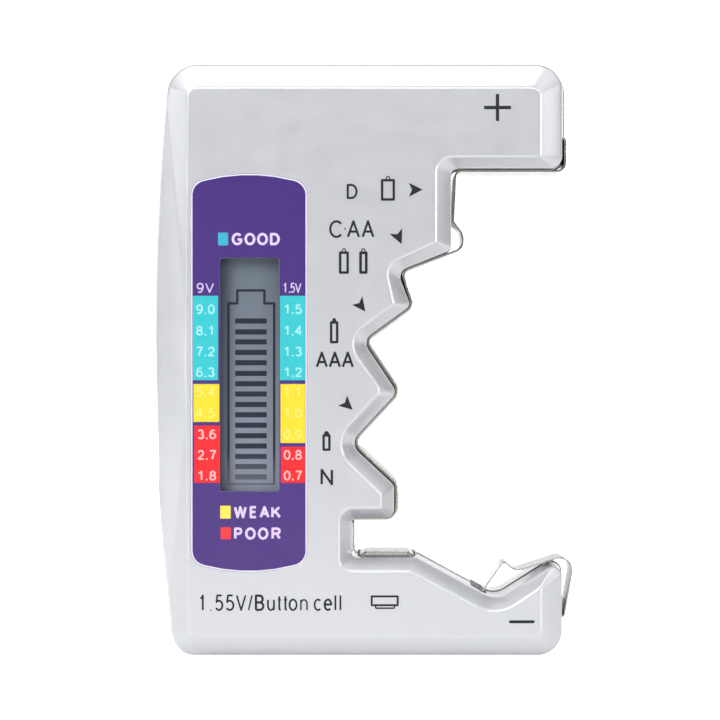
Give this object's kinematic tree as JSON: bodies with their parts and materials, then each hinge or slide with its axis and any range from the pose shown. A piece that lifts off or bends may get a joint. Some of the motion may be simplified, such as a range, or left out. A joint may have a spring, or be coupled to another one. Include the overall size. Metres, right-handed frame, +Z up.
{
  "type": "battery tester",
  "caption": "Hand-held battery tester: C-shaped silver case with a stepped cell bay, contact strips, a sprung negative clip and a bar display beside a two-column voltage scale.",
  "frame": {"origin": "middle of the bottom of the bounding box, on the plane the tester stands on", "axes": "+Z up, along the long side; +X to the right, from the display towards the cell bay; -Y out of the face with the scale"},
  "size_m": [0.065, 0.022, 0.0913],
  "materials": {
    "silver_case": "silver-painted moulded plastic, satin",
    "purple_label": "printed plastic plate, satin",
    "lcd_film": "grey-green display film",
    "lcd_glass": "thin clear glass",
    "white_plastic": "plain moulded plastic",
    "elastomer": "striped conductive elastomer",
    "circuit_board": "glass-fibre board with green solder mask",
    "steel_screw": "zinc-plated steel",
    "black_epoxy": "black epoxy",
    "resistor_body": "lacquered film resistor",
    "ceramic_chip": "fired ceramic chip",
    "nickel_strip": "nickel-plated spring strip, bright",
    "spring_steel": "nickel-plated spring strip, bright",
    "red_lead": "PVC insulation",
    "black_lead": "PVC insulation",
    "solder": "tin solder"
  },
  "bodies": {
    "case": {"front_shell": "silver_case", "rear_shell": "silver_case", "scale_label": "purple_label", "lcd_front_polarizer": "lcd_film", "lcd_front_glass": "lcd_glass", "lcd_rear_glass": "lcd_glass", "lcd_reflector": "lcd_film", "lcd_holder": "white_plastic", "zebra_strips": "elastomer", "main_pcb": "circuit_board", "pcb_screws": "steel_screw", "case_screws": "steel_screw", "driver_chip": "black_epoxy", "load_resistors": "resistor_body", "chip_resistors": "black_epoxy", "chip_capacitors": "ceramic_chip", "positive_contact_strip": "nickel_strip", "negative_button_contact": "nickel_strip", "nine_volt_positive_contact": "nickel_strip", "nine_volt_negative_contact": "nickel_strip", "positive_lead": "red_lead", "negative_lead": "black_lead", "nine_volt_positive_lead": "red_lead", "nine_volt_negative_lead": "black_lead", "solder_joints": "solder"},
    "clip": {"negative_spring_clip": "spring_steel"}
  },
  "joints": [
    {"name": "clip_flex", "type": "hinge", "parent": "case", "child": "clip", "pos_m": [0.0309, 0, 0.0056], "axis": [0, -1, 0], "range_deg": [0, 5], "stiffness_Nm_per_rad": 0.25}
  ]
}
